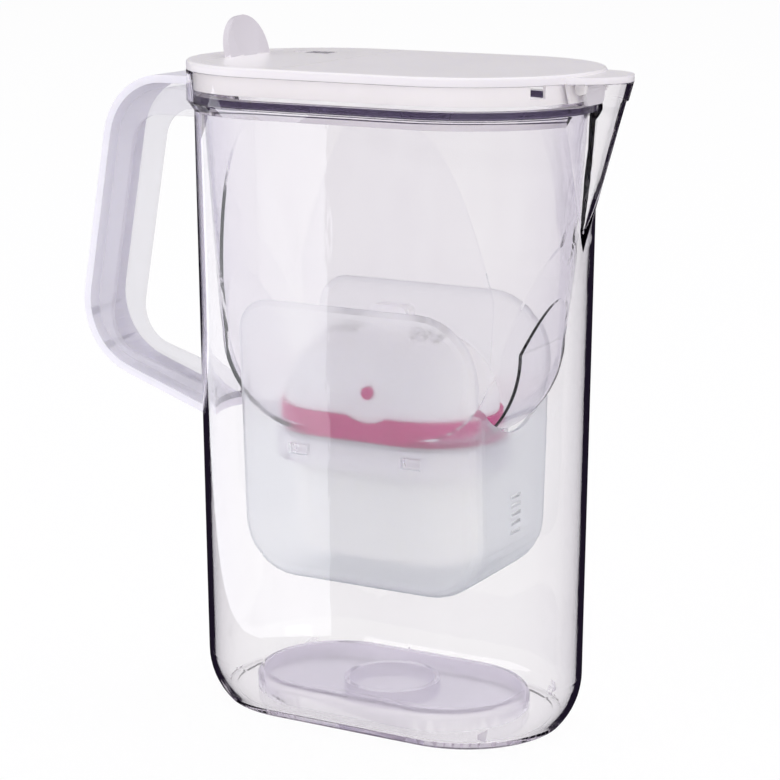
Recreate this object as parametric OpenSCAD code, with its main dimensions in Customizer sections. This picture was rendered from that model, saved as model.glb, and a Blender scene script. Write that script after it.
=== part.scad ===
// Water filter pitcher for a fridge door: a clear oval jug with a beak spout and a
// channel handle, a lift-out hopper with a filter housing and cartridge, and a lid
// with a thumb-operated filling flap. +X points to the spout, z = 0 is the table.

/* [Jug] */
// Length of the collar, from the handle end to the spout end
jug_l = 175.8; // [168:0.2:184]
// Width of the collar
jug_w = 108; // [104:0.5:112]
// Height of the rim above the table
rim_z = 264.5; // [258:0.5:272]
// Wall thickness of the jug
jug_wall = 2.4; // [2:0.1:2.8]
// Height of the collar, from the hopper's ledge to the rim
collar_h = 12.5; // [12:0.1:14]
// How far the collar stands out from the body on each side
collar_step = 3; // [2.8:0.1:3.4]
// How much each side draws in from the ledge to the foot
body_taper = 2.5; // [1:0.1:4]
// Radius of the curve from the side wall to the foot
foot_curve_r = 30; // [27:0.5:34]
// Height at which that curve starts
foot_curve_z = 20; // [17:0.5:22]
// Width of the ring that the jug stands on
foot_ring_w = 3.5; // [2.5:0.1:5]
// Height of the hollow inside that ring
foot_gap = 1.2; // [0.8:0.1:2]
// Length of the raised middle of the floor
punt_l = 120.8; // [112:0.2:126]
// Width of the raised middle of the floor
punt_w = 69.8; // [62:0.2:74]
// Height of the raised middle above the table
punt_top_z = 12; // [9:0.5:15]
// Radius of the raised middle's upper edge
punt_edge_r = 4; // [3:0.5:5]
// Diameter of the boss under the raised middle
punt_boss_d = 40; // [30:1:46]

/* [Spout] */
// Distance from the jug's centre to the centre of the spout's beak
beak_x = 83; // [81:0.5:85]
// Radius of the beak at the rim
beak_r = 18.7; // [17:0.1:20]
// Height at which the beak runs out into the wall
beak_low_z = 193; // [185:1:205]
// Height of the thicker lip round the top of the beak
lip_h = 7.3; // [5:0.1:9]
// How far that lip stands out
lip_t = 0.8; // [0.4:0.1:1.2]

/* [Handle] */
// Distance from the jug's centre to the back of the handle
handle_reach = 145; // [140:0.5:150]
// Width of the handle
handle_w = 26; // [22:0.5:30]
// Thickness of the grip strap
grip_t = 3.3; // [2.5:0.1:4]
// Thickness of the channel's web and side walls
channel_t = 2.6; // [2:0.1:3]
// Height of the top of the handle above the table
handle_top_z = 259.5; // [256:0.5:262]

/* [Hopper] */
// Half length of the hopper at its shoulder
shoulder_half_l = 75.5; // [73:0.5:76]
// Half width of the hopper at its shoulder
shoulder_half_w = 32.7; // [32.2:0.1:32.8]
// Height of the shoulder, where the walls steepen
shoulder_z = 181; // [178:0.5:190]
// Thickness of the hopper's walls
hopper_wall = 2; // [1.6:0.1:2.4]
// Thickness of the hopper's rim flange
flange_t = 2.8; // [2.2:0.1:3.4]
// How far the bottom of the hopper's bowl lies below the cartridge's seat
bowl_drop = 2.5; // [1:0.1:4]
// Radius of the bowl's curved ends
bowl_r = 45; // [40:0.5:50]
// Half length of the hopper where its ends meet the bowl
bowl_half_l = 68; // [66:0.5:70]
// Half width of the hopper at the bowl
bowl_half_w = 31; // [30.9:0.05:31.1]
// How much further out the bowl's ends are rounded across than lengthwise
bowl_round = 4; // [2:0.5:6]

/* [Filter housing] */
// Distance from the jug's centre to the housing's handle end
box_back = 54; // [52.5:0.5:55.5]
// Distance from the jug's centre to the housing's spout end
box_front = 56.5; // [54:0.5:58]
// Height of the underside of the housing
box_z = 58; // [54:0.5:62]
// Height of the tops of the two side panels
box_top_z = 175.5; // [170:0.5:182]
// How far each panel leans out over its height
box_lean = 3.5; // [3:0.1:4.5]
// Radius of the housing's edges between the panels and the ends
box_edge_r = 6; // [4:0.5:8]
// Wall thickness of the housing
box_wall = 1.8; // [1.5:0.1:2]
// Radius of the panels' upper corner on the handle side
box_back_r = 15; // [10:1:22]
// Radius of the panels' upper corner on the spout side
box_front_r = 27; // [20:1:34]
// Radius of the housing's lower corners
box_low_r = 24; // [20:1:30]
// Radius of the cut that lowers the end walls
end_cut_r = 33; // [31:0.5:36]
// Lowest height of that cut
end_cut_z = 124; // [122:0.5:132]
// Number of outlet slots in the spout end wall
slot_count = 5; // [3:1:7]
// Length of an outlet slot
slot_l = 9; // [7:0.5:14]
// Spacing of the outlet slots
slot_pitch = 3.65; // [3.2:0.05:3.8]
// Height of the middle outlet slot
slot_z = 89.7; // [86:0.5:94]

/* [Cartridge] */
// Length of the cartridge's coloured band
band_l = 95; // [92:0.5:96]
// Width of the coloured band
band_w = 58; // [56:0.5:58.4]
// Height of the coloured band
band_h = 10; // [8:0.5:12]
// Depth of the dip in the middle of the band
band_dip = 2.5; // [1:0.1:3.5]
// Height of the hopper's seat for the cartridge
seat_z = 117; // [116:0.1:118]
// Height of the dome above the band
dome_h = 32; // [28:0.5:34]
// Height of the grip on top of the dome
knob_h = 9; // [6:0.5:10]
// Width of the grip on top of the dome
knob_w = 17; // [12:0.5:22]
// Height of the underside of the cartridge
cup_z = 66; // [65.8:0.1:68]
// Radius of the lower edge of the cartridge
cup_edge_r = 8; // [7.5:0.5:10]
// Thickness of the cartridge's walls
cup_wall = 1.6; // [1.2:0.1:2]
// Diameter of the vent plug
vent_d = 5; // [4:0.1:6]

/* [Lid] */
// Thickness of the lid's plate
lid_t = 3.5; // [3.2:0.1:4]
// Depth of the lid's skirt below the rim
skirt_h = 7.5; // [6:0.1:8.5]
// Distance from the jug's centre to the filling flap's free edge
flap_edge_x = 24; // [18:0.5:30]
// Distance from the jug's centre to the filling flap's hinge
flap_hinge_x = 70.5; // [69:0.5:72]
// Height of the thumb tab above the lid
tab_h = 16.5; // [12:0.5:20]
// Width of the thumb tab
tab_w = 30; // [24:0.5:32]
// How far the thumb tab leans towards the handle
tab_lean = 4; // [2:0.5:8]
// Diameter of the flap's hinge pins
flap_pin_d = 2.4; // [2:0.1:2.6]
// Length of the reminder module
module_l = 30; // [28:0.5:32]
// Width of the reminder module
module_w = 20; // [19:0.5:21]
// Diameter of the reminder's reset button
button_d = 5; // [4:0.1:5.5]
// Width of the pouring gate in the spout
gate_w = 18; // [14:0.5:20]
// Height of the pouring gate
gate_h = 6.5; // [5:0.5:7]

/* [Clearances] */
// Gap all round the hopper's flange in the collar, and round the lid's skirt
rim_gap = 0.4; // [0.3:0.05:0.6]
// Gap between flat parts that rest on each other
rest_gap = 0.2; // [0.1:0.05:0.3]
// Gap round the flap and the gate
flap_gap = 0.5; // [0.4:0.05:0.7]
// Gap all round a hinge pin in its bore
pin_gap = 0.06; // [0.04:0.01:0.09]

/* [Hidden] */
$fn = 96;
eps = 0.01;

// Middle of the whole object, so that the origin is under its centre
body_x = (handle_reach - beak_x - beak_r - lip_t) / 2;

// Jug: each half section is measured outwards from the axis of an end curve
jug_gap = jug_l - jug_w;
collar_r = jug_w / 2;
ledge_z = rim_z - collar_h;
body_r = collar_r - collar_step;
foot_r = body_r - body_taper;
foot_cx = foot_r - foot_curve_r;
ring_out_r = foot_cx + sqrt(foot_curve_r * foot_curve_r - foot_curve_z * foot_curve_z);
floor_z = foot_gap + jug_wall;
punt_gap = punt_l - punt_w;
beak_h = rim_z - beak_low_z;
beak_slope = beak_r / beak_h;

// Handle: rounded belts round corner centres, from the top root round to the lower one
grip_back_r = 31.5;
hand_top_r = 30;
root_x = -80;
handle_top = [-102.8, handle_top_z - hand_top_r, hand_top_r];
handle_back = [grip_back_r - handle_reach, 161, grip_back_r];
handle_belt = [[root_x, handle_top_z - 8, 8], handle_top, handle_back, [root_x + 2, 124, 8]];
finger_depth = 14;
finger_belt = [[root_x + 2, handle_top_z - 19.5, 3],
               [handle_top[0] - 1.2, handle_top_z - 30.5, 14],
               [finger_depth + 17 - handle_reach, 156, 17],
               [root_x + 2, 131, 3]];

// Hopper
flange_r = collar_r - jug_wall - rim_gap;
flange_z = ledge_z + rest_gap;
hopper_r = body_r - jug_wall - 1;
hopper_low_r = hopper_r - 9;
hopper_half_l = jug_gap / 2 + hopper_r;
seat_r = band_w / 2 + rim_gap;
seat_ring_r = seat_r + 1.5;
seat_gap = band_l - band_w;
seat_ring_z = seat_z - 10;
seat_top_z = seat_z + 6.3;
pocket_h = band_h + 5;
bowl_z = seat_z - bowl_drop;
bowl_cx = bowl_half_l - bowl_r;
bowl_cz = bowl_z + bowl_r;

// Filter housing
box_h = box_top_z - box_z;
box_gap = 0.5;
nest_gap = 0.3;
box_seat_hw = seat_ring_r + box_gap + box_wall;
box_low_hw = box_seat_hw - box_lean * (seat_ring_z - box_z) / box_h;
box_top_hw = box_low_hw + box_lean;
end_cut_top = end_cut_z + 25;
slot_h = 1.7;
drain_w = 2;
drain_l = 30;
drain_pitch = 12;
clip_x = 26;
clip_mid_x = (box_front - box_back) / 2;
clip_w = 8;
clip_h = 4;
clip_root = 3.5;
clip_nose = 1.5;
clip_room = 0.3;
clip_z = seat_ring_z + 5;

// Cartridge
band_r = band_w / 2;
band_z = seat_z + 2.5;
band_top_z = band_z + band_h;
band_t = 1.4;
cap_r = band_r - band_t;
cup_top_r = cap_r - 2.2;
cup_low_r = cup_top_r - 4;
cup_flange_t = 1.8;
seal_t = band_z - seat_z - rest_gap;
cup_room = 0.6;
cup_slot_w = 2.2;
cup_floor_r = cup_low_r - cup_edge_r;
knob_t = 7;
knob_edge_r = 3;
cap_slot_x = 14;
cap_slot_pitch = 5;
cap_slot_w = 2;
cap_slot_l = 16;
cap_slot_depth = 6;
media_gap = 0.3;
vent_x = 4;
vent_z = band_top_z + 9.5;
vent_plug_l = 4;
dip_half_w = 9;
dip_r = (dip_half_w * dip_half_w + band_dip * band_dip) / (2 * band_dip);
mesh_t = 0.8;
mesh_hole = 5;
mesh_pitch = 7;
mesh_rim = 1.5;

// Lid
lid_z = rim_z + rest_gap;
lid_top_z = lid_z + lid_t;
skirt_r = collar_r - jug_wall - rim_gap;
skirt_t = 1.8;
flap_r = collar_r - 5;
flap_t = 1.6;
flap_z = lid_top_z - flap_t;
hinge_back = 3;
flap_back_x = flap_hinge_x - hinge_back;
axis_drop = 1.8;
axis_z = lid_top_z - axis_drop;
back_clear = sqrt(hinge_back * hinge_back - axis_drop * axis_drop) - 0.1;
tab_t = 2.8;
tab_angle = atan(tab_lean / tab_h);
dish_r = 60;
dish_depth = 0.8;
tab_front = 2.5;
notch_angle = 33;
notch_w = 6.5;
notch_h = 4.6;
notch_drop = 0.4;
top_edge_r = 1.2;
bearing_w = 5;
bearing_h = 2.4;
knuckle_r = 1.7;
knuckle_w = tab_w + 2;
tail_l = 7.5;
pin_l = 4;
fill_inset = 3;
cover_z = lid_top_z - 1;
gate_pin_r = 1;
gate_rod_r = 1.6;
gate_x = jug_gap / 2 + skirt_r + gate_rod_r + rim_gap;
gate_axis_z = rim_z - 2.2;
gate_t = 1.4;

// Reminder module under the far side of the flap
module_x = -48;
module_y = 25;
module_h = 6.2;
module_wall = 1;
module_z = flap_z - module_h;
window_l = 11;
window_w = 9;
window_rim = 1;
window_rim_t = 0.6;
display_t = 0.8;
board_z = module_z + 3.4;
board_t = 1;
button_x = module_x - 10;
button_proud = 0.3;
button_rim = 0.75;
button_rim_t = 0.7;
cell_d = 11.6;
cell_t = 2;
door_d = 14;

// Points of an arc, from angle a to angle b
function arc(c, r, a, b, n = 10) =
    [for (i = [0 : n]) c + r * [cos(a + (b - a) * i / n), sin(a + (b - a) * i / n)]];

// Direction of the outward normal of the belt's run from one corner circle to the next
function run_angle(p, q) =
    let (d = [q[0] - p[0], q[1] - p[1]])
    atan2(d[1], d[0]) - acos((p[2] - q[2]) / norm(d));

// Outline of a belt round corner circles [x, y, r] that go round anticlockwise,
// drawn in by the distance d
function belt(c, d = 0) =
    [for (i = [0 : len(c) - 1])
        let (n = len(c),
             a = run_angle(c[(i + n - 1) % n], c[i]),
             b = run_angle(c[i], c[(i + 1) % n]),
             e = b < a ? b + 360 : b)
        each arc([c[i][0], c[i][1]], max(c[i][2] - d, eps), a, e)];

// A half section swept round an oval: two turned ends and the straight middle
module oval(gap) {
    for (s = [0, 1])
        mirror([s, 0, 0])
            translate([gap / 2, 0, 0])
                rotate([0, 0, -90])
                    rotate_extrude(angle = 180)
                        children();
    rotate([90, 0, 90])
        linear_extrude(gap, center = true) {
            children();
            mirror([1, 0])
                children();
        }
}

// A flat oval plate between two heights
module oval_plate(gap, r, z, t) {
    translate([0, 0, z])
        linear_extrude(t) {
            square([gap, 2 * r], center = true);
            for (s = [-1, 1])
                translate([s * gap / 2, 0])
                    circle(r);
        }
}

// An oval tube between two heights
module oval_ring(gap, r, w, z, t) {
    difference() {
        oval_plate(gap, r, z, t);
        oval_plate(gap, r - w, z - 1, t + 2);
    }
}

// A shape drawn in x and z, given a width across the middle
module across(w) {
    rotate([90, 0, 0])
        linear_extrude(w, center = true)
            children();
}

// A shape drawn in y and z, given a length between two places along the jug
module along(x0, x1) {
    translate([x0, 0, 0])
        rotate([90, 0, 90])
            linear_extrude(x1 - x0)
                children();
}

// Half section of the jug's outside
module jug_outside(grow = 0) {
    polygon([[0, foot_curve_z], [foot_r + grow, foot_curve_z],
             [body_r + grow, ledge_z - collar_step - 1], [collar_r + grow, ledge_z],
             [collar_r + grow, rim_z], [0, rim_z]]);
    intersection() {
        translate([foot_cx, foot_curve_z])
            circle(foot_curve_r + grow);
        square([foot_r + grow, foot_curve_z]);
    }
}

// Half section of the room inside the jug
module jug_inside() {
    polygon([[0, foot_curve_z], [foot_r - jug_wall, foot_curve_z],
             [body_r - jug_wall, ledge_z], [collar_r - jug_wall, ledge_z],
             [collar_r - jug_wall, rim_z + 1], [0, rim_z + 1]]);
    intersection() {
        translate([foot_cx, foot_curve_z])
            circle(foot_curve_r - jug_wall);
        translate([0, floor_z])
            square([foot_r, foot_curve_z - floor_z]);
    }
}

// Half section of the raised middle, with a rounded upper edge
module punt_section(r, z, edge) {
    square([r, z - edge]);
    square([r - edge, z]);
    translate([r - edge, z - edge])
        circle(edge);
}

// The beak, a cone that grows out of the end wall, with its thicker lip
module beak_outside() {
    translate([beak_x, 0, beak_low_z])
        cylinder(beak_h, 0, beak_r);
    translate([beak_x, 0, rim_z - lip_h])
        cylinder(lip_h, beak_r - beak_slope * lip_h + lip_t, beak_r + lip_t);
}

module beak_inside() {
    low = beak_low_z + jug_wall / beak_slope;
    h = rim_z + 1 - low;
    translate([beak_x, 0, low])
        cylinder(h, 0, h * beak_slope);
}

// The clear channel of the handle: a web under the strap and two side walls
module handle_channel() {
    for (s = [-1, 1])
        translate([0, s * (handle_w - channel_t) / 2, 0])
            across(channel_t)
                difference() {
                    polygon(belt(handle_belt, grip_t));
                    polygon(belt(finger_belt));
                }
    across(handle_w - channel_t)
        difference() {
            polygon(belt(handle_belt, grip_t));
            polygon(belt(handle_belt, grip_t + channel_t));
        }
}

module jug() {
    color("lavender", 0.35)
        translate([body_x, 0, 0])
            difference() {
                union() {
                    difference() {
                        union() {
                            oval(jug_gap)
                                jug_outside();
                            beak_outside();
                            handle_channel();
                        }
                        oval(jug_gap)
                            jug_inside();
                        beak_inside();
                    }
                    oval(punt_gap)
                        punt_section(punt_w / 2, punt_top_z, punt_edge_r);
                }
                oval_plate(jug_gap, ring_out_r - foot_ring_w, -1, 1 + foot_gap);
                difference() {
                    translate([0, 0, -eps])
                        oval(punt_gap)
                            punt_section(punt_w / 2 - jug_wall, punt_top_z - jug_wall,
                                         punt_edge_r - jug_wall);
                    translate([0, 0, foot_gap + jug_wall])
                        difference() {
                            cylinder(punt_top_z, d = punt_boss_d);
                            translate([0, 0, -1])
                                cylinder(punt_top_z + 2, d = punt_boss_d - 2 * jug_wall);
                        }
                }
            }
}

module handle_grip() {
    color("thistle")
        translate([body_x, 0, 0])
            difference() {
                across(handle_w)
                    difference() {
                        polygon(belt(handle_belt));
                        polygon(belt(handle_belt, grip_t));
                    }
                oval(jug_gap)
                    jug_outside(rest_gap);
            }
}

// The hopper's outline from the front, drawn in by d: steep ends over a round bowl.
// Near the rim it stands outside the oval form, which alone shapes the hopper there.
module hopper_front(d, top) {
    rim_x = hopper_half_l + 2 - d;
    polygon([[bowl_half_l - d, bowl_cz], [shoulder_half_l - d, shoulder_z],
             [rim_x, flange_z], [rim_x, top], [-rim_x, top], [-rim_x, flange_z],
             [d - shoulder_half_l, shoulder_z], [d - bowl_half_l, bowl_cz]]);
    for (s = [-1, 1])
        translate([s * bowl_cx, bowl_cz])
            circle(bowl_r - d);
    translate([-bowl_cx, bowl_z + d])
        square([2 * bowl_cx, bowl_r - d]);
}

// The hopper's outline from the end: sides that draw in between the panels
module hopper_side(d, top) {
    rim_y = hopper_r + 0.6 - d;
    polygon([[bowl_half_w - d, bowl_z - 1], [shoulder_half_w - d, shoulder_z],
             [rim_y, flange_z], [rim_y, top], [-rim_y, top], [-rim_y, flange_z],
             [d - shoulder_half_w, shoulder_z], [d - bowl_half_w, bowl_z - 1]]);
}

// Half section, out from the cartridge's end curve, that rounds the bowl's ends across
module bowl_rounding(d, top) {
    cx = bowl_cx - seat_gap / 2 + bowl_round;
    rim_x = hopper_half_l - seat_gap / 2 + bowl_round - d;
    polygon([[0, bowl_cz], [cx + bowl_r - d, bowl_cz], [rim_x, flange_z], [rim_x, top],
             [0, top]]);
    intersection() {
        translate([cx, bowl_cz])
            circle(bowl_r - d);
        translate([0, bowl_z - 1])
            square([cx + bowl_r - d, bowl_r + 1]);
    }
}

module hopper_form(d, top) {
    intersection() {
        across(jug_w)
            hopper_front(d, top);
        along(-jug_l / 2, jug_l / 2)
            hopper_side(d, top);
        oval(jug_gap)
            polygon([[0, bowl_z - 1], [hopper_low_r - d, bowl_z - 1],
                     [hopper_r - d, flange_z], [hopper_r - d, top], [0, top]]);
        oval(seat_gap)
            bowl_rounding(d, top);
    }
}

// A snap hook on the seat ring, with a flat top for the housing to hang on
module housing_clip() {
    tip = seat_ring_r + box_gap + box_wall - rest_gap;
    along(-clip_w / 2, clip_w / 2)
        polygon([[seat_ring_r - clip_root, clip_z], [seat_ring_r, clip_z],
                 [tip, clip_z + clip_h - clip_nose], [tip, clip_z + clip_h],
                 [seat_ring_r - clip_root, clip_z + clip_h]]);
}

module hopper() {
    color("white", 0.35)
        translate([body_x, 0, 0])
            difference() {
                union() {
                    difference() {
                        union() {
                            hopper_form(0, flange_z + flange_t);
                            oval_plate(jug_gap, flange_r, flange_z, flange_t);
                        }
                        hopper_form(hopper_wall, flange_z + flange_t + 1);
                    }
                    oval_plate(seat_gap, seat_ring_r, seat_ring_z, seat_top_z - seat_ring_z);
                    for (x = [-clip_x, clip_x], s = [0, 1])
                        mirror([0, s, 0])
                            translate([clip_mid_x + x, 0, 0])
                                housing_clip();
                }
                oval_plate(seat_gap, seat_r, seat_z, pocket_h);
                oval_plate(seat_gap, cup_top_r + cup_room, seat_ring_z - 1,
                           seat_z - seat_ring_z + 2);
            }
}

// One rounded corner of the filter housing's form
module box_corner(x, y, z, r, d) {
    translate([x, y, z])
        rotate([90, 0, 0])
            rotate_extrude($fn = 32)
                translate([r - box_edge_r, 0])
                    circle(box_edge_r - d, $fn = 16);
}

// The housing's rounded form, drawn in by d
module box_form(d) {
    hull()
        for (s = [-1, 1]) {
            top_y = s * (box_top_hw - box_edge_r);
            low_y = s * (box_low_hw - box_edge_r);
            box_corner(box_front - box_front_r, top_y, box_top_z - box_front_r, box_front_r, d);
            box_corner(box_back_r - box_back, top_y, box_top_z - box_back_r, box_back_r, d);
            box_corner(box_low_r - box_back, low_y, box_z + box_low_r, box_low_r, d);
            box_corner(box_front - box_low_r, low_y, box_z + box_low_r, box_low_r, d);
        }
}

// The cut that opens the housing's top and lowers its end walls to a curve
module end_cut() {
    in_w = box_wall + 0.3;
    along(-box_back - 1, box_front + 1)
        intersection() {
            polygon([[box_low_hw - in_w, box_z], [box_top_hw - in_w, box_top_z + 1],
                     [in_w - box_top_hw, box_top_z + 1], [in_w - box_low_hw, box_z]]);
            union() {
                translate([0, end_cut_z + end_cut_r])
                    circle(end_cut_r);
                translate([-box_top_hw, end_cut_top])
                    square([2 * box_top_hw, box_h]);
            }
        }
}

module filter_housing() {
    color("aliceblue", 0.8)
        translate([body_x, 0, 0])
            difference() {
                box_form(0);
                box_form(box_wall);
                end_cut();
                hopper_form(-nest_gap, flange_z);
                for (i = [0 : slot_count - 1])
                    translate([box_front - 2 * box_wall, -slot_l / 2,
                               slot_z + (i - (slot_count - 1) / 2) * slot_pitch - slot_h / 2])
                        cube([3 * box_wall, slot_l, slot_h]);
                for (i = [-2 : 2])
                    translate([i * drain_pitch - drain_w / 2, -drain_l / 2, box_z - 1])
                        cube([drain_w, drain_l, box_wall + 2]);
                for (x = [clip_mid_x - clip_x, clip_mid_x + clip_x])
                    translate([x - clip_w / 2 - clip_room, -box_top_hw - 1, clip_z - clip_room])
                        cube([clip_w + 2 * clip_room, 2 * box_top_hw + 2,
                              clip_h + clip_room + rest_gap]);
            }
}

// Half section of the cartridge's cup, drawn in by d, up to the height top
module cup_section(d, low, top) {
    edge = cup_edge_r - d;
    polygon([[0, low], [cup_floor_r, low], [cup_floor_r, low + edge],
             [cup_low_r - d, low + edge], [cup_top_r - d, band_z], [cup_top_r - d, top],
             [0, top]]);
    translate([cup_floor_r, low + edge])
        circle(edge);
}

module cartridge_cup() {
    color("white")
        translate([body_x, 0, 0])
            difference() {
                oval(seat_gap) {
                    difference() {
                        union() {
                            cup_section(0, cup_z, band_z + cup_flange_t);
                            translate([0, band_z])
                                square([cap_r, cup_flange_t]);
                        }
                        cup_section(cup_wall, cup_z + cup_wall, band_z + cup_flange_t + 1);
                    }
                }
                for (i = [-4 : 4])
                    translate([i * 3 * cup_slot_w - cup_slot_w / 2, 2 - cup_floor_r, cup_z - 1])
                        cube([cup_slot_w, 2 * cup_floor_r - 4, cup_wall + 2]);
            }
}

// Half section of the dome, a round arch over the band, drawn in by d
module dome_section(d) {
    cx = (dome_h * dome_h - cap_r * cap_r) / (2 * cap_r);
    skirt_z = band_z + cup_flange_t;
    translate([0, skirt_z])
        square([cap_r - d, band_top_z - skirt_z]);
    intersection() {
        translate([-cx, band_top_z])
            circle(cap_r + cx - d);
        translate([0, band_top_z])
            square([cap_r, dome_h]);
    }
}

// The grip on the dome, from the front, with rounded upper corners
module knob_outline() {
    inset = knob_w / 2 - knob_edge_r;
    translate([-knob_w / 2, -cup_wall])
        square([knob_w, knob_h + cup_wall - knob_edge_r]);
    translate([-inset, 0])
        square([2 * inset, knob_h]);
    for (s = [-1, 1])
        translate([s * inset, knob_h - knob_edge_r])
            circle(knob_edge_r);
}

module cartridge_cap() {
    color("white")
        translate([body_x, 0, 0])
            difference() {
                union() {
                    oval(seat_gap)
                        dome_section(0);
                    translate([0, 0, band_top_z + dome_h])
                        across(knob_t)
                            knob_outline();
                }
                translate([0, 0, -eps])
                    oval(seat_gap)
                        dome_section(cup_wall);
                for (s = [-1, 1], i = [0 : 2])
                    translate([s * (cap_slot_x + cap_slot_pitch * i) - cap_slot_w / 2,
                               -cap_slot_l / 2, band_top_z + dome_h - cap_slot_depth])
                        cube([cap_slot_w, cap_slot_l, cap_slot_depth + 1]);
                translate([vent_x, 0, vent_z])
                    rotate([90, 0, 0])
                        cylinder(cap_r + 1, d = vent_d + 0.1);
            }
}

module cartridge_band() {
    color("palevioletred")
        translate([body_x, 0, 0])
            difference() {
                oval_ring(seat_gap, band_r, band_t - 0.05, band_z, band_h);
                translate([vent_x, 0, band_top_z + dip_r - band_dip])
                    rotate([90, 0, 0])
                        cylinder(band_w + 2, r = dip_r, center = true);
            }
}

module cartridge_seal() {
    color("gainsboro")
        translate([body_x, 0, 0])
            oval(seat_gap)
                translate([seat_r - seal_t / 2 - 0.4, seat_z + rest_gap + seal_t / 2])
                    circle(seal_t / 2);
}

// How far the outer corner of the screen's hole in column x and row y reaches out
function screen_reach(x, y) =
    norm([max(abs(x) * mesh_pitch + mesh_hole / 2 - seat_gap / 2, 0),
          abs(y) * mesh_pitch + mesh_hole / 2]);

// A flat screen with rows of holes, inside the cartridge
module screen(r, z) {
    difference() {
        oval_plate(seat_gap, r, z, mesh_t);
        for (x = [-6 : 6], y = [-3 : 3])
            if (screen_reach(x, y) < r - mesh_rim)
                translate([x * mesh_pitch - mesh_hole / 2, y * mesh_pitch - mesh_hole / 2, z - 1])
                    cube([mesh_hole, mesh_hole, mesh_t + 2]);
    }
}

module inlet_mesh() {
    color("whitesmoke")
        translate([body_x, 0, 0])
            screen(cap_r - cup_wall - 0.1, band_z + cup_flange_t + rest_gap);
}

module outlet_mesh() {
    color("whitesmoke")
        translate([body_x, 0, 0])
            screen(cup_floor_r, cup_z + cup_wall);
}

module filter_media() {
    color("dimgray")
        translate([body_x, 0, 0])
            oval(seat_gap)
                cup_section(cup_wall + media_gap, cup_z + cup_wall + mesh_t, band_z);
}

module vent_plug() {
    color("hotpink")
        translate([body_x + vent_x, 0, vent_z])
            rotate([90, 0, 0])
                translate([0, 0, cap_r - vent_plug_l - rest_gap])
                    cylinder(vent_plug_l, d = vent_d);
}

// The plan of the filling flap, drawn in by d, from the height z
module flap_plan(d, back, front, z, t) {
    intersection() {
        oval_plate(jug_gap, flap_r - d, z, t);
        translate([-back, -collar_r, z - 1])
            cube([back - front, jug_w, t + 2]);
    }
}

module lid_base() {
    recess_z = flap_z - rest_gap;
    color("white")
        translate([body_x, 0, 0])
            difference() {
                union() {
                    oval(jug_gap)
                        translate([0, lid_z]) {
                            square([collar_r, lid_t - top_edge_r]);
                            square([collar_r - top_edge_r, lid_t]);
                            translate([collar_r - top_edge_r, lid_t - top_edge_r])
                                circle(top_edge_r);
                        }
                    oval_ring(jug_gap, skirt_r, skirt_t, rim_z - skirt_h, skirt_h + 1);
                    translate([beak_x, 0, lid_z])
                        cylinder(cover_z - lid_z, r = beak_r + lip_t);
                    for (s = [-1, 1])
                        translate([-flap_hinge_x - hinge_back,
                                   s * (knuckle_w / 2 + flap_gap + bearing_w / 2) - bearing_w / 2,
                                   lid_z - bearing_h])
                            cube([2 * hinge_back - flap_gap, bearing_w, bearing_h + 1]);
                    for (s = [-1, 1])
                        gate_ear(s);
                }
                flap_plan(-flap_gap, flap_hinge_x - back_clear, flap_edge_x - flap_gap,
                          recess_z, lid_t);
                flap_plan(fill_inset, flap_back_x - fill_inset, flap_edge_x + fill_inset,
                          lid_z - bearing_h - 1, lid_t + bearing_h + 2);
                translate([-flap_hinge_x - tail_l - flap_gap, -knuckle_w / 2 - flap_gap,
                           lid_z - bearing_h - 1])
                    cube([tail_l + hinge_back + 2 * flap_gap, knuckle_w + 2 * flap_gap,
                          lid_t + bearing_h + 2]);
                translate([-flap_hinge_x, 0, axis_z])
                    rotate([90, 0, 0])
                        cylinder(knuckle_w + 2 * (flap_gap + pin_l), d = flap_pin_d + 2 * pin_gap,
                                 center = true);
                translate([gate_x, 0, gate_axis_z])
                    rotate([90, 0, 0])
                        cylinder(gate_w + 2 * flap_gap + 3, r = gate_pin_r + pin_gap,
                                 center = true);
                for (s = [0, 1], a = [-notch_angle, notch_angle])
                    mirror([s, 0, 0])
                        translate([jug_gap / 2, 0, rim_z - notch_h - notch_drop])
                            rotate([0, 0, a])
                                translate([skirt_r - skirt_t - 1, -notch_w / 2, 0])
                                    cube([skirt_t + 2, notch_w, notch_h]);
            }
}

// A bearing for the pouring gate, hanging from the cover of the spout
module gate_ear(s) {
    ear_w = 2.2;
    y = s * (gate_w / 2 + flap_gap + ear_w / 2);
    translate([gate_x, y, gate_axis_z])
        rotate([90, 0, 0])
            cylinder(ear_w, r = 2, center = true);
    translate([gate_x - 2, y - ear_w / 2, gate_axis_z])
        cube([4, ear_w, lid_z + 1 - gate_axis_z]);
}

module fill_flap() {
    color("white")
        translate([body_x, 0, 0])
            difference() {
                union() {
                    flap_plan(0, flap_back_x, flap_edge_x, flap_z, flap_t);
                    translate([-flap_hinge_x - tail_l, -knuckle_w / 2, flap_z])
                        cube([tail_l + hinge_back + 1, knuckle_w, flap_t]);
                    translate([-flap_hinge_x, 0, axis_z])
                        rotate([90, 0, 0]) {
                            cylinder(knuckle_w, r = knuckle_r, center = true);
                            cylinder(knuckle_w + 2 * pin_l, d = flap_pin_d, center = true);
                        }
                    thumb_tab();
                }
                translate([module_x - window_l / 2 - 0.1, module_y - window_w / 2 - 0.1,
                           flap_z - 1])
                    cube([window_l + 0.2, window_w + 0.2, flap_t + 2]);
                translate([button_x, module_y, flap_z - 1])
                    cylinder(flap_t + 2, d = button_d + 0.6);
            }
}

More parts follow.
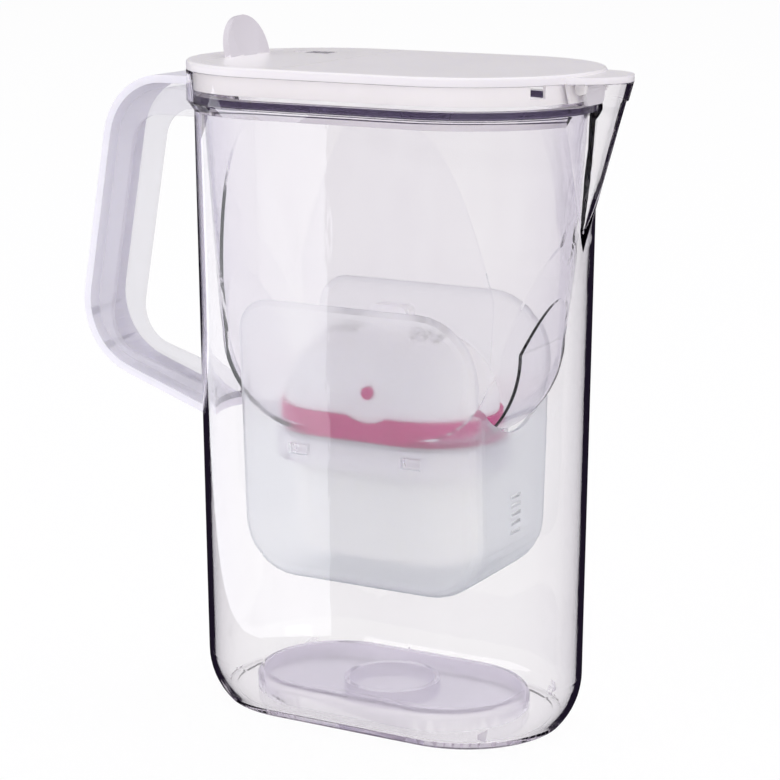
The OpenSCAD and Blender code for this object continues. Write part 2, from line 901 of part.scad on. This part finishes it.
// The thumb tab: a petal that leans to the handle, hollowed on the spout side
module thumb_tab() {
    root = 1;
    translate([tab_front - flap_hinge_x, 0, lid_top_z - root])
        rotate([0, -tab_angle, 0])
            difference() {
                along(-tab_t / 2, tab_t / 2)
                    intersection() {
                        translate([0, tab_h + root - tab_w / 2])
                            circle(tab_w / 2);
                        translate([-tab_w / 2, 0])
                            square([tab_w, tab_h + root]);
                    }
                translate([tab_t / 2 + dish_r - dish_depth, 0, tab_h / 2 + root])
                    sphere(dish_r);
            }
}

module pour_gate() {
    corner_r = 3.5;
    color("white", 0.8)
        translate([body_x + gate_x, 0, gate_axis_z]) {
            rotate([90, 0, 0]) {
                cylinder(gate_w, r = gate_rod_r, center = true);
                cylinder(gate_w + 2 * flap_gap + 2, r = gate_pin_r, center = true);
            }
            along(0, gate_t) {
                translate([-gate_w / 2, corner_r - gate_h])
                    square([gate_w, gate_h - corner_r]);
                for (s = [-1, 1])
                    translate([s * (gate_w / 2 - corner_r), corner_r - gate_h])
                        circle(corner_r);
                translate([corner_r - gate_w / 2, -gate_h])
                    square([gate_w - 2 * corner_r, gate_h]);
            }
        }
}

// A block centred on the reminder module, between two heights
module module_block(x, l, w, z, t) {
    translate([x - l / 2, module_y - w / 2, z])
        cube([l, w, t]);
}

module reminder_case() {
    inner_l = module_l - 2 * module_wall;
    inner_w = module_w - 2 * module_wall;
    color("whitesmoke")
        translate([body_x, 0, 0])
            difference() {
                module_block(module_x, module_l, module_w, module_z, module_h);
                module_block(module_x, inner_l, inner_w, module_z + module_wall, module_h);
                translate([module_x, module_y, module_z - 1])
                    cylinder(module_wall + 2, d = door_d + 0.2);
            }
}

module reminder_window() {
    rim = 2 * window_rim;
    color("lightsteelblue", 0.6)
        translate([body_x, 0, 0]) {
            module_block(module_x, window_l, window_w, flap_z - eps, flap_t + eps);
            module_block(module_x, window_l + rim, window_w + rim, flap_z - window_rim_t,
                         window_rim_t);
        }
}

module reminder_display() {
    color("darkseagreen")
        translate([body_x, 0, 0])
            module_block(module_x, window_l + 1, window_w + 1,
                         flap_z - window_rim_t - display_t, display_t);
}

module reminder_board() {
    gap = 2 * module_wall + 0.4;
    color("seagreen")
        translate([body_x, 0, 0])
            module_block(module_x, module_l - gap, module_w - gap, board_z, board_t);
}

module coin_cell() {
    color("silver")
        translate([body_x + module_x, module_y, board_z - rest_gap - cell_t])
            cylinder(cell_t, d = cell_d);
}

module battery_door() {
    color("whitesmoke")
        translate([body_x + module_x, module_y, module_z])
            cylinder(module_wall, d = door_d);
}

module reset_button() {
    rim_z1 = flap_z - rest_gap - button_rim_t;
    color("lightgray")
        translate([body_x + button_x, module_y, rim_z1]) {
            cylinder(lid_top_z + button_proud - rim_z1, d = button_d);
            cylinder(button_rim_t, d = button_d + 2 * button_rim);
        }
}

jug();
handle_grip();
hopper();
filter_housing();
cartridge_cup();
cartridge_cap();
cartridge_band();
cartridge_seal();
inlet_mesh();
outlet_mesh();
filter_media();
vent_plug();
lid_base();
fill_flap();
pour_gate();
reminder_case();
reminder_window();
reminder_display();
reminder_board();
coin_cell();
battery_door();
reset_button();
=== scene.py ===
import math

import bpy
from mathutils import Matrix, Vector

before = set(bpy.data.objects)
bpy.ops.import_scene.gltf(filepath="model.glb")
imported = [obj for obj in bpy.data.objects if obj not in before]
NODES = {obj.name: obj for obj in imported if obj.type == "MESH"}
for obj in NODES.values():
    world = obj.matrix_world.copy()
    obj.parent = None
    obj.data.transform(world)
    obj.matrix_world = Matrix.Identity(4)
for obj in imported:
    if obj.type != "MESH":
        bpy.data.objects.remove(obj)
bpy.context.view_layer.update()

# Camera, from the outlines of the lid, the ledge and the foot in the photograph
CAM_AZIMUTH = 28.98
CAM_ELEVATION = 12.71
CAM_DISTANCE = 0.9829
CAM_TARGET = Vector((0.0199, 0.0, 0.1341))
CAM_LENS = 110.5
SENSOR = 36.0

# Where the collar ends at the back and only the handle goes on
COLLAR_BACK_X = -0.0672

# The raised middle of the jug's floor, which gets painted lilac shade: centre, half length, half
# width and heights
PUNT_X = 0.02125
PUNT_HALF_L = 0.0606
PUNT_HALF_W = 0.0351
PUNT_LOW_Z = 0.0045
PUNT_TOP_Z = 0.0125

# Height above which the hopper's faces belong to its flange, whose upright faces carry a painted
# dark line
FLANGE_Z = 0.2523

# Height above which the flap's faces belong to its thumb tab
TAB_LOW_Z = 0.2686

# Edge of the white card that shows in the front wall, as two points on the floor
CARD_NEAR = Vector((-0.041, -0.151, 0.0))
CARD_FAR = Vector((-1.02, -1.809, 0.0))

# Colour that a ray meets when it was thrown back inside the edge of one clear wall
EDGE_COLOUR = (0.012, 0.008, 0.018, 1.0)

# A ray that has passed one wall counts two surfaces, and one that has passed two counts four
ONE_WALL_DEPTH = 3.5
HALF_BOUNCE = 0.5

# The floor: its width, its depth below the object and how far it is lifted to white
FLOOR_SIZE = 24.0
FLOOR_Z = -0.0002
FLOOR_LIFT = 0.93

CARD_STRENGTH = 2.5

# Light that falls on the object from all around
LIT_COLOUR = (0.96, 0.94, 0.98, 1.0)
LIT_STRENGTH = 0.82
WHITE = (1.0, 1.0, 1.0, 1.0)

# Surface detail in metres: how far apart waves or grains lie, and how high they stand
WAVE_SIZE = 0.012
WAVE_STRETCH = (1.0, 1.0, 0.35)
THIN_WAVE_SIZE = 0.015
WAVE_HEIGHT = 0.00003
HAZE_SIZE = 0.004
TONE_SIZE = 0.03
SATIN_SIZE = 0.0012
SATIN_HEIGHT = 0.000012
CLOUD_SIZE = 0.02
FROST_SIZE = 0.0008
FROST_HEIGHT = 0.00002
BRUSH_SIZE = 0.002
BRUSH_STRETCH = (1.0, 12.0, 1.0)
GRANULES_PER_M = 900.0
GRANULE_HEIGHT = 0.0004
GLOW_RADIUS = (0.004, 0.004, 0.005)

# Refraction: the hopper and the frosted walls bend light less than the real plastic does
PLASTIC_IOR = 1.5
HOPPER_IOR = 1.25
FROST_IOR = 1.2

# Values between which a ramp runs from its low to its high colour
RAMP_LOW = 0.3
RAMP_HIGH = 0.7

# Sockets of a Mix node that mixes colours
MIX_FACTOR, MIX_A, MIX_B, MIX_RESULT = 0, 6, 7, 2

# A face counts as upright where its normal's z is less than this
UPRIGHT = 0.5


# ---------------------------------------------------------------- node helpers

def new_material(name):
    """An empty node material and its output node."""
    mat = bpy.data.materials.new(name)
    mat.use_nodes = True
    tree = mat.node_tree
    tree.nodes.clear()
    out = tree.nodes.new("ShaderNodeOutputMaterial")
    return mat, tree, out


def coords(tree, scale=(1.0, 1.0, 1.0)):
    """Object coordinates, stretched by scale."""
    tex = tree.nodes.new("ShaderNodeTexCoord")
    mapping = tree.nodes.new("ShaderNodeMapping")
    mapping.inputs["Scale"].default_value = scale
    tree.links.new(tex.outputs["Object"], mapping.inputs["Vector"])
    return mapping.outputs["Vector"]


def noise(tree, size, stretch=(1.0, 1.0, 1.0), detail=3.0):
    """Noise whose features are about size metres across."""
    node = tree.nodes.new("ShaderNodeTexNoise")
    node.inputs["Scale"].default_value = 1.0 / size
    node.inputs["Detail"].default_value = detail
    tree.links.new(coords(tree, stretch), node.inputs["Vector"])
    return node.outputs["Fac"]


def ramp(tree, value, low, high):
    """value from 0 to 1 mapped to the colours or greys low and high."""
    node = tree.nodes.new("ShaderNodeValToRGB")
    for stop, colour in zip(node.color_ramp.elements, (low, high)):
        stop.color = colour if len(colour) == 4 else (*colour, 1.0)
    node.color_ramp.elements[0].position = RAMP_LOW
    node.color_ramp.elements[1].position = RAMP_HIGH
    tree.links.new(value, node.inputs["Fac"])
    return node.outputs["Color"]


def grey(value):
    """A colour with the same red, green and blue."""
    return (value, value, value)


def bump(tree, shader, value, height):
    """A bump of that height in metres on a shader."""
    node = tree.nodes.new("ShaderNodeBump")
    node.inputs["Distance"].default_value = height
    tree.links.new(value, node.inputs["Height"])
    tree.links.new(node.outputs["Normal"], shader.inputs["Normal"])


def principled(tree, out):
    """A Principled shader, linked to the output."""
    shader = tree.nodes.new("ShaderNodeBsdfPrincipled")
    tree.links.new(shader.outputs["BSDF"], out.inputs["Surface"])
    return shader


# ---------------------------------------------------------------- materials

def painted_edge_shade(tree, colour, edge, blend=0.25):
    """Painted shade: colour where a surface faces the viewer, blended to the darker edge colour
    where it turns away, drawing dark edges and outlines.
    """
    facing = tree.nodes.new("ShaderNodeLayerWeight")
    facing.inputs["Blend"].default_value = blend
    mix = tree.nodes.new("ShaderNodeMix")
    mix.data_type = "RGBA"
    mix.inputs[MIX_B].default_value = (*edge, 1.0)
    tree.links.new(facing.outputs["Facing"], mix.inputs[MIX_FACTOR])
    tree.links.new(colour, mix.inputs[MIX_A])
    return mix.outputs[MIX_RESULT]


def clear_plastic(name, low, high, ior, edge, absorb, density, rough=(0.0, 0.03)):
    """Polished clear plastic with faint moulding waves, a tint that shows where it is thick, and
    painted shade towards its edges.
    """
    mat, tree, out = new_material(name)
    shader = principled(tree, out)
    shader.inputs["Transmission Weight"].default_value = 1.0
    shader.inputs["IOR"].default_value = ior
    waves = noise(tree, WAVE_SIZE, WAVE_STRETCH)
    tree.links.new(painted_edge_shade(tree, ramp(tree, waves, low, high), edge),
                   shader.inputs["Base Color"])
    tree.links.new(ramp(tree, noise(tree, HAZE_SIZE), grey(rough[0]), grey(rough[1])),
                   shader.inputs["Roughness"])
    bump(tree, shader, waves, WAVE_HEIGHT)
    volume = tree.nodes.new("ShaderNodeVolumeAbsorption")
    volume.inputs["Color"].default_value = (*absorb, 1.0)
    volume.inputs["Density"].default_value = density
    tree.links.new(volume.outputs["Volume"], out.inputs["Volume"])
    return mat


def moulded_plastic(name, low, high, rough=(0.28, 0.38), glow=0.0):
    """Opaque moulded plastic: a fine satin grain with slight changes of tone."""
    mat, tree, out = new_material(name)
    shader = principled(tree, out)
    tree.links.new(ramp(tree, noise(tree, TONE_SIZE), low, high), shader.inputs["Base Color"])
    fine = noise(tree, SATIN_SIZE, detail=5.0)
    tree.links.new(ramp(tree, fine, grey(rough[0]), grey(rough[1])),
                   shader.inputs["Roughness"])
    bump(tree, shader, fine, SATIN_HEIGHT)
    shader.inputs["Subsurface Weight"].default_value = glow
    shader.inputs["Subsurface Radius"].default_value = GLOW_RADIUS
    shader.inputs["Subsurface Scale"].default_value = 1.0
    return mat


def frosted_plastic(name, low, high, edge, clear=0.6, rough=(0.3, 0.45)):
    """Frosted plastic that lets what lies close behind it show through, with painted shade towards
    its edges.
    """
    mat, tree, out = new_material(name)
    shader = principled(tree, out)
    shader.inputs["Transmission Weight"].default_value = clear
    shader.inputs["IOR"].default_value = FROST_IOR
    cloud = noise(tree, CLOUD_SIZE)
    tree.links.new(painted_edge_shade(tree, ramp(tree, cloud, low, high), edge),
                   shader.inputs["Base Color"])
    fine = noise(tree, FROST_SIZE, detail=4.0)
    tree.links.new(ramp(tree, fine, grey(rough[0]), grey(rough[1])),
                   shader.inputs["Roughness"])
    bump(tree, shader, fine, FROST_HEIGHT)
    return mat


def thin_clear_plastic(name, low, high, edge, cover):
    """Thin clear walls that tint what is behind them without bending it, with painted shade
    towards their edges.
    """
    mat, tree, out = new_material(name)
    shader = principled(tree, out)
    waves = noise(tree, THIN_WAVE_SIZE)
    tree.links.new(painted_edge_shade(tree, ramp(tree, waves, low, high), edge, 0.3),
                   shader.inputs["Base Color"])
    tree.links.new(ramp(tree, noise(tree, HAZE_SIZE), grey(0.04), grey(0.09)),
                   shader.inputs["Roughness"])
    shader.inputs["Alpha"].default_value = cover
    shader.inputs["IOR"].default_value = PLASTIC_IOR
    bump(tree, shader, waves, WAVE_HEIGHT)
    return mat


def granules(name):
    """Packed grains of carbon and resin."""
    mat, tree, out = new_material(name)
    shader = principled(tree, out)
    cells = tree.nodes.new("ShaderNodeTexVoronoi")
    cells.inputs["Scale"].default_value = GRANULES_PER_M
    tree.links.new(coords(tree), cells.inputs["Vector"])
    tree.links.new(ramp(tree, cells.outputs["Distance"], (0.3, 0.27, 0.22), (0.03, 0.03, 0.03)),
                   shader.inputs["Base Color"])
    shader.inputs["Roughness"].default_value = 0.8
    bump(tree, shader, cells.outputs["Distance"], GRANULE_HEIGHT)
    return mat


def metal(name, colour):
    """Brushed sheet metal."""
    mat, tree, out = new_material(name)
    shader = principled(tree, out)
    shader.inputs["Metallic"].default_value = 1.0
    darker = tuple(0.8 * c for c in colour)
    tree.links.new(ramp(tree, noise(tree, BRUSH_SIZE, BRUSH_STRETCH), colour, darker),
                   shader.inputs["Base Color"])
    shader.inputs["Roughness"].default_value = 0.3
    return mat


# In the clear, frosted and thin clear materials, the edge colour that follows the two tones is
# painted shade, blended in where a surface turns away from the viewer.
MATERIALS = {
    "jug_clear": clear_plastic("jug_clear", (0.99, 0.982, 0.986), (0.999, 0.993, 0.996),
                               PLASTIC_IOR, (0.88, 0.85, 0.91),
                               absorb=(0.55, 0.44, 0.56), density=8.0),
    "hopper_clear": clear_plastic("hopper_clear", (0.982, 0.975, 0.98),
                                  (0.996, 0.992, 0.994), HOPPER_IOR, (0.6, 0.56, 0.7),
                                  absorb=(0.5, 0.46, 0.6), density=9.0,
                                  rough=(0.05, 0.09)),
    "handle_clear": thin_clear_plastic("handle_clear", (0.88, 0.87, 0.91), (0.91, 0.9, 0.94),
                                       (0.12, 0.1, 0.2), 0.24),
    # Painted shade: a greyer, hazier lilac material on the jug's raised floor, standing in for the
    # shade seen there.
    "punt_painted_shade": frosted_plastic("punt_painted_shade", (0.88, 0.86, 0.89), (0.91, 0.89, 0.92),
                                  (0.6, 0.55, 0.72), clear=0.7, rough=(0.1, 0.16)),
    # Painted shade: a near-black material on the hopper flange's upright faces draws the dark line
    # of shade along the ledge.
    "flange_painted_shade": frosted_plastic("flange_painted_shade", (0.09, 0.07, 0.13), (0.13, 0.11, 0.18),
                                    (0.05, 0.03, 0.08), clear=0.5, rough=(0.1, 0.2)),
    "grip": moulded_plastic("grip", (0.84, 0.83, 0.89), (0.87, 0.86, 0.92), glow=0.3),
    "frosted": frosted_plastic("frosted", (0.99, 0.992, 0.993), (0.996, 0.997, 0.998),
                               (0.46, 0.51, 0.6), clear=0.93, rough=(0.29, 0.34)),
    "white": moulded_plastic("white", (0.89, 0.865, 0.88), (0.91, 0.885, 0.9), glow=0.2),
    "tab_grey": moulded_plastic("tab_grey", (0.7, 0.67, 0.71), (0.73, 0.7, 0.74)),
    "case_grey": moulded_plastic("case_grey", (0.81, 0.79, 0.81), (0.84, 0.82, 0.84)),
    "cartridge_white": moulded_plastic("cartridge_white", (0.94, 0.94, 0.95),
                                       (0.96, 0.96, 0.965), glow=0.2),
    "pink": moulded_plastic("pink", (0.58, 0.03, 0.2), (0.64, 0.05, 0.25)),
    "seal": moulded_plastic("seal", (0.55, 0.55, 0.56), (0.62, 0.62, 0.63), (0.6, 0.8)),
    "mesh": moulded_plastic("mesh", (0.85, 0.85, 0.86), (0.9, 0.9, 0.9), (0.6, 0.8)),
    "granules": granules("granules"),
    "window": thin_clear_plastic("window", (0.7, 0.69, 0.72), (0.74, 0.73, 0.76),
                                 (0.5, 0.48, 0.55), 0.35),
    "display": moulded_plastic("display", (0.74, 0.73, 0.75), (0.78, 0.77, 0.79), (0.1, 0.2)),
    "board": moulded_plastic("board", (0.02, 0.2, 0.08), (0.03, 0.25, 0.1)),
    "cell": metal("cell", (0.75, 0.75, 0.77)),
    "gate": frosted_plastic("gate", (0.9, 0.88, 0.9), (0.94, 0.93, 0.94),
                            (0.7, 0.67, 0.75), clear=0.3),
}

FINISH = {
    "jug": "jug_clear",
    "handle_grip": "grip",
    "hopper": "hopper_clear",
    "filter_housing": "frosted",
    "cartridge_cup": "cartridge_white",
    "cartridge_cap": "cartridge_white",
    "cartridge_band": "pink",
    "cartridge_seal": "seal",
    "inlet_mesh": "mesh",
    "outlet_mesh": "mesh",
    "filter_media": "granules",
    "vent_plug": "pink",
    "lid_base": "white",
    "fill_flap": "white",
    "pour_gate": "gate",
    "reminder_case": "case_grey",
    "reminder_window": "window",
    "reminder_display": "display",
    "reminder_board": "board",
    "coin_cell": "cell",
    "battery_door": "white",
    "reset_button": "case_grey",
}


def is_handle(face):
    """The jug's faces behind the collar."""
    return face.center.x < COLLAR_BACK_X


def is_punt(face):
    """The jug's faces in the raised middle of its floor, which get painted lilac shade."""
    spot = face.center
    inside = abs(spot.x - PUNT_X) < PUNT_HALF_L and abs(spot.y) < PUNT_HALF_W
    return inside and PUNT_LOW_Z < spot.z < PUNT_TOP_Z


def is_flange_edge(face):
    """The hopper's upright faces at its flange, which carry a painted dark line of shade."""
    return face.center.z > FLANGE_Z and abs(face.normal.z) < UPRIGHT


def is_tab(face):
    """The flap's faces that stand above the lid."""
    return face.center.z > TAB_LOW_Z


def finish_or_shade_faces(node, look, chosen):
    """Gives the faces of a node that chosen picks a finish or painted shade of their own."""
    mesh = NODES[node].data
    mesh.materials.append(MATERIALS[look])
    slot = len(mesh.materials) - 1
    for face in mesh.polygons:
        if chosen(face):
            face.material_index = slot


def finish_and_shade_nodes():
    """Gives each CAD node its material, and four parts of nodes a look of their own: a finish on
    the jug's handle and the flap's tab, painted shade on the jug's raised floor and the hopper's
    flange.
    """
    for name, look in FINISH.items():
        mesh = NODES[name].data
        mesh.materials.clear()
        mesh.materials.append(MATERIALS[look])
    finish_or_shade_faces("jug", "handle_clear", is_handle)
    finish_or_shade_faces("jug", "punt_painted_shade", is_punt)
    finish_or_shade_faces("hopper", "flange_painted_shade", is_flange_edge)
    finish_or_shade_faces("fill_flap", "tab_grey", is_tab)


# ---------------------------------------------------------------- studio

def math_node(tree, operation, a, b):
    """A Math node on two sockets or numbers."""
    node = tree.nodes.new("ShaderNodeMath")
    node.operation = operation
    for socket, value in zip(node.inputs, (a, b)):
        if isinstance(value, (int, float)):
            socket.default_value = value
        else:
            tree.links.new(value, socket)
    return node.outputs[0]


def mix_shaders(tree, factor, low, high):
    """Shader low where factor is 0 and shader high where it is 1."""
    mix = tree.nodes.new("ShaderNodeMixShader")
    tree.links.new(factor, mix.inputs["Fac"])
    tree.links.new(low, mix.inputs[1])
    tree.links.new(high, mix.inputs[2])
    return mix.outputs["Shader"]


def background(tree, colour, strength=1.0):
    """A plain surround of that colour."""
    node = tree.nodes.new("ShaderNodeBackground")
    node.inputs["Color"].default_value = colour
    node.inputs["Strength"].default_value = strength
    return node.outputs["Background"]


def seen_directly(tree, path):
    """1 for rays from the camera, off a shiny surface or through a clear one."""
    return math_node(tree, "MAXIMUM", path.outputs["Is Camera Ray"],
                     math_node(tree, "MAXIMUM", path.outputs["Is Glossy Ray"],
                               path.outputs["Is Transmission Ray"]))


def edge_ray(tree, path):
    """1 for rays that were thrown back inside the edge of one clear wall, or by an outer
    surface, and passed no other wall."""
    passed = path.outputs["Transmission Depth"]
    one_wall = math_node(tree, "LESS_THAN", passed, ONE_WALL_DEPTH)
    not_matte = math_node(tree, "LESS_THAN", path.outputs["Diffuse Depth"], HALF_BOUNCE)
    thrown = math_node(tree, "GREATER_THAN", path.outputs["Ray Depth"],
                       math_node(tree, "ADD", passed, HALF_BOUNCE))
    return math_node(tree, "MULTIPLY",
                     math_node(tree, "MULTIPLY", one_wall, not_matte),
                     math_node(tree, "MULTIPLY", thrown, path.outputs["Is Glossy Ray"]))


def build_world():
    """White for the camera and through the clear walls. A ray that one wall's edge or an outer
    surface throws back meets a dark surround instead, as in bright-field glass lighting."""
    world = bpy.data.worlds.new("studio")
    bpy.context.scene.world = world
    world.use_nodes = True
    tree = world.node_tree
    tree.nodes.clear()
    out = tree.nodes.new("ShaderNodeOutputWorld")
    path = tree.nodes.new("ShaderNodeLightPath")
    lit = background(tree, LIT_COLOUR, LIT_STRENGTH)
    shown = mix_shaders(tree, seen_directly(tree, path), lit, background(tree, WHITE))
    edged = mix_shaders(tree, edge_ray(tree, path), shown, background(tree, EDGE_COLOUR))
    tree.links.new(edged, out.inputs["Surface"])


def build_floor():
    """A pale matte floor that keeps the object's shadow and runs out to white."""
    bpy.ops.mesh.primitive_plane_add(size=FLOOR_SIZE, location=(0.0, 0.0, FLOOR_Z))
    floor = bpy.context.object
    floor.name = "floor"
    mat, tree, out = new_material("floor")
    path = tree.nodes.new("ShaderNodeLightPath")
    matte = tree.nodes.new("ShaderNodeBsdfDiffuse")
    tree.links.new(ramp(tree, noise(tree, 0.4), (0.86, 0.85, 0.88), (0.88, 0.87, 0.9)),
                   matte.inputs["Color"])
    lift = tree.nodes.new("ShaderNodeEmission")
    lift.inputs["Strength"].default_value = 1.0
    dark = tree.nodes.new("ShaderNodeEmission")
    dark.inputs["Color"].default_value = EDGE_COLOUR
    lifted = math_node(tree, "MULTIPLY", seen_directly(tree, path), FLOOR_LIFT)
    shown = mix_shaders(tree, lifted, matte.outputs["BSDF"], lift.outputs["Emission"])
    edged = mix_shaders(tree, edge_ray(tree, path), shown, dark.outputs["Emission"])
    tree.links.new(edged, out.inputs["Surface"])
    floor.data.materials.append(mat)


def build_card():
    """A white card on the floor, seen only where the front wall mirrors it."""
    along = CARD_FAR - CARD_NEAR
    aside = Vector((along.y, -along.x, 0.0))
    corners = [CARD_NEAR, CARD_FAR, CARD_FAR + aside, CARD_NEAR + aside]
    mesh = bpy.data.meshes.new("card")
    mesh.from_pydata([tuple(corner) for corner in corners], [], [(0, 1, 2, 3)])
    card = bpy.data.objects.new("card", mesh)
    bpy.context.scene.collection.objects.link(card)
    mat, tree, out = new_material("card")
    light = tree.nodes.new("ShaderNodeEmission")
    light.inputs["Strength"].default_value = CARD_STRENGTH
    tree.links.new(ramp(tree, noise(tree, 0.5), (0.93, 0.95, 1.0), (0.96, 0.98, 1.0)),
                   light.inputs["Color"])
    tree.links.new(light.outputs["Emission"], out.inputs["Surface"])
    mesh.materials.append(mat)
    card.visible_camera = False
    card.visible_diffuse = False
    card.visible_transmission = False
    card.visible_volume_scatter = False
    card.visible_shadow = False


def area_light(name, place, aim_z, size, power):
    """A lamp aimed at the object, seen neither directly nor in reflections."""
    data = bpy.data.lights.new(name, "AREA")
    data.shape = "RECTANGLE"
    data.size = data.size_y = size
    data.energy = power
    lamp = bpy.data.objects.new(name, data)
    bpy.context.scene.collection.objects.link(lamp)
    lamp.location = place
    aim = Vector((0.0, 0.0, aim_z)) - Vector(place)
    lamp.rotation_euler = aim.to_track_quat("-Z", "Y").to_euler()
    lamp.visible_camera = False
    lamp.visible_glossy = False


def build_lights():
    """Weak lamps from both front sides and a broad one from above."""
    area_light("key", place=(-0.9, -1.2, 1.1), aim_z=0.15, size=0.9, power=4.0)
    area_light("fill", place=(1.4, -0.9, 0.7), aim_z=0.12, size=0.9, power=2.5)
    area_light("top", place=(0.0, 0.8, 4.0), aim_z=0.1, size=2.5, power=50.0)


def set_bounces():
    """Enough bounces for light to pass the jug, the hopper and the housing both ways."""
    cycles = bpy.context.scene.cycles
    cycles.max_bounces = 48
    cycles.transmission_bounces = 48
    cycles.glossy_bounces = 8
    cycles.diffuse_bounces = 6
    cycles.transparent_max_bounces = 24
    cycles.blur_glossy = 0.0


def build_camera():
    """The camera at the photograph's viewing angle."""
    az = math.radians(CAM_AZIMUTH)
    el = math.radians(CAM_ELEVATION)
    back = Vector((math.sin(az) * math.cos(el), -math.cos(az) * math.cos(el), math.sin(el)))
    data = bpy.data.cameras.new("camera")
    data.lens = CAM_LENS
    data.sensor_width = SENSOR
    camera = bpy.data.objects.new("camera", data)
    bpy.context.scene.collection.objects.link(camera)
    camera.location = CAM_TARGET + back * CAM_DISTANCE
    camera.rotation_euler = back.to_track_quat("Z", "Y").to_euler()
    bpy.context.scene.camera = camera


# ---------------------------------------------------------------- scene

build_camera()
set_bounces()
build_world()
build_floor()
build_card()
build_lights()
finish_and_shade_nodes()
bpy.context.scene.view_settings.view_transform = "Standard"
